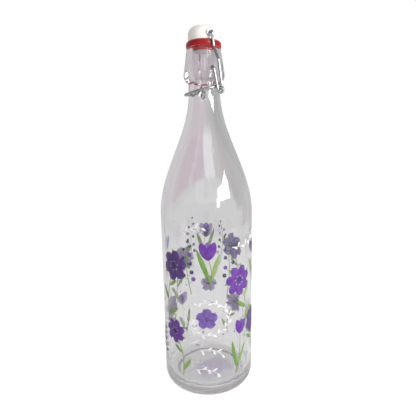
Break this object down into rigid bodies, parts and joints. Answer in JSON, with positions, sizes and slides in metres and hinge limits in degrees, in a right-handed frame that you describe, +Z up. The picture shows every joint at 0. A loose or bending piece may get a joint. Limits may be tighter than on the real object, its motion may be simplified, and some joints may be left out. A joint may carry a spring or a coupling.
{
  "type": "swing top bottle",
  "caption": "Round glass bottle with a long tapered neck, closed by a stopper with a rubber gasket that a bail wire and an over-centre lever wire pull onto the mouth.",
  "frame": {"origin": "centre of the base, on the plane that the bottle stands on", "axes": "+Z up along the bottle's axis; X along the lever's pivot axis; the lever's bow is at the front, at -Y"},
  "size_m": [0.085, 0.085, 0.3243],
  "materials": {
    "clear_glass": "clear, fire polished",
    "paper": "matte, blank",
    "steel_wire": "bright zinc or nickel plated wire",
    "white_plastic": "moulded, glossy",
    "red_rubber": "moulded, satin"
  },
  "bodies": {
    "bottle": {"glass_bottle": "clear_glass", "base_sticker": "paper"},
    "lever": {"lever_wire": "steel_wire"},
    "bail": {"bail_wire": "steel_wire"},
    "closure": {"stopper": "white_plastic", "gasket": "red_rubber"}
  },
  "joints": [
    {"name": "lever_pivot", "type": "hinge", "parent": "bottle", "child": "lever", "pos_m": [0, 0, 0.2885], "axis": [-1, 0, 0], "range_deg": [0, 180], "deforming": ["gasket"]},
    {"name": "bail_pivot", "type": "hinge", "parent": "lever", "child": "bail", "pos_m": [0, 0.0067, 0.271], "axis": [-1, 0, 0], "range_deg": [-111.6, 0]},
    {"name": "stopper_pivot", "type": "hinge", "parent": "bail", "child": "closure", "pos_m": [0, 0, 0.3172], "axis": [-1, 0, 0], "range_deg": [-68.4, 0]}
  ],
  "couplings": [
    {"joint": "bail_pivot", "follows": "lever_pivot", "ratio": -0.62},
    {"joint": "stopper_pivot", "follows": "lever_pivot", "ratio": -0.38}
  ]
}
